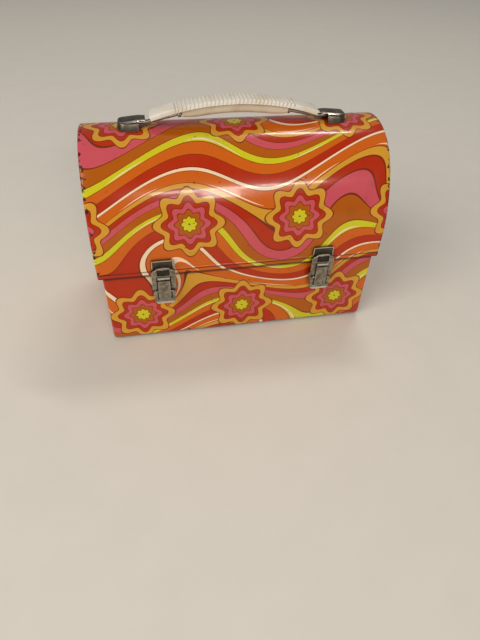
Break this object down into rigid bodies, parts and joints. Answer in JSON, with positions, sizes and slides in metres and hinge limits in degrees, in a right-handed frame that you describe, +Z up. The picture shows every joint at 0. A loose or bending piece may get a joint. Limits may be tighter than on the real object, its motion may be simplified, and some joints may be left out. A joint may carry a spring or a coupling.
{
  "type": "lunch box",
  "caption": "Sheet steel lunch box with a hinged dome lid, draw latches on the front, a swinging ribbed carrying handle on the crown and a wire bottle retainer inside the lid.",
  "frame": {"origin": "middle of the flat underside, on the surface the box stands on", "axes": "+X along the width to the right as seen from the latches, +Y from the latches to the hinge, +Z up"},
  "size_m": [0.229, 0.1244, 0.1816],
  "materials": {
    "printed_steel": "glossy printed coat over sheet steel, chipped along the folded edges",
    "bare_steel": "dull tinned sheet",
    "wire_steel": "drawn wire, lightly aged",
    "aged_nickel": "aged nickel plate, dark in the recesses and bright on the edges",
    "tarnished_steel": "dark tarnished plate with worn bright folds",
    "cream_plastic": "satin moulded plastic, slightly soiled",
    "tan_plastic": "smooth satin moulded plastic"
  },
  "bodies": {
    "base": {"base_wrap": "printed_steel", "base_end_left": "printed_steel", "base_end_right": "printed_steel", "base_rim_band": "bare_steel", "hinge_leaf_base": "bare_steel", "hinge_pin": "bare_steel", "hinge_rivets_base": "bare_steel", "bracket_rivets": "aged_nickel", "latch_bracket_left": "aged_nickel", "latch_bracket_right": "aged_nickel", "latch_lever_pin_left": "aged_nickel", "latch_lever_pin_right": "aged_nickel"},
    "lid": {"lid_wrap": "printed_steel", "lid_end_left": "printed_steel", "lid_end_right": "printed_steel", "lid_rim_band": "bare_steel", "hinge_leaf_lid": "bare_steel", "hinge_rivets_lid": "bare_steel", "latch_keeper_left": "aged_nickel", "latch_keeper_right": "aged_nickel", "keeper_rivets": "aged_nickel", "handle_ear_left": "tarnished_steel", "handle_ear_right": "tarnished_steel", "ear_plate_left": "bare_steel", "ear_plate_right": "bare_steel", "retainer_bracket_left": "bare_steel", "retainer_bracket_right": "bare_steel", "retainer_clip": "bare_steel"},
    "handle": {"grip_cover": "cream_plastic", "grip_core": "tan_plastic", "handle_bail": "wire_steel", "grip_ferrules": "wire_steel"},
    "retainer": {"bottle_retainer": "wire_steel"},
    "lever_left": {"latch_lever_left": "aged_nickel", "latch_loop_pin_left": "aged_nickel"},
    "lever_right": {"latch_lever_right": "aged_nickel", "latch_loop_pin_right": "aged_nickel"},
    "loop_left": {"latch_loop_left": "aged_nickel"},
    "loop_right": {"latch_loop_right": "aged_nickel"}
  },
  "joints": [
    {"name": "lid_hinge", "type": "hinge", "parent": "base", "child": "lid", "pos_m": [0, 0.0596, 0.069], "axis": [-1, 0, 0], "range_deg": [0, 110]},
    {"name": "handle_swing", "type": "hinge", "parent": "lid", "child": "handle", "pos_m": [0, 0, 0.1657], "axis": [1, 0, 0], "range_deg": [-34, 34]},
    {"name": "retainer_swing", "type": "hinge", "parent": "lid", "child": "retainer", "pos_m": [0, 0.051, 0.083], "axis": [1, 0, 0], "range_deg": [0, 45]},
    {"name": "lever_left", "type": "hinge", "parent": "base", "child": "lever_left", "pos_m": [-0.0645, -0.06, 0.0645], "axis": [-1, 0, 0], "range_deg": [0, 85]},
    {"name": "loop_left", "type": "hinge", "parent": "lever_left", "child": "loop_left", "pos_m": [-0.0645, -0.0598, 0.0585], "axis": [-1, 0, 0], "range_deg": [-102, 0]},
    {"name": "lever_right", "type": "hinge", "parent": "base", "child": "lever_right", "pos_m": [0.0645, -0.06, 0.0645], "axis": [-1, 0, 0], "range_deg": [0, 85]},
    {"name": "loop_right", "type": "hinge", "parent": "lever_right", "child": "loop_right", "pos_m": [0.0645, -0.0598, 0.0585], "axis": [-1, 0, 0], "range_deg": [-102, 0]}
  ],
  "couplings": [
    {"joint": "loop_left", "follows": "lever_left", "ratio": -1.2},
    {"joint": "loop_right", "follows": "lever_right", "ratio": -1.2}
  ]
}
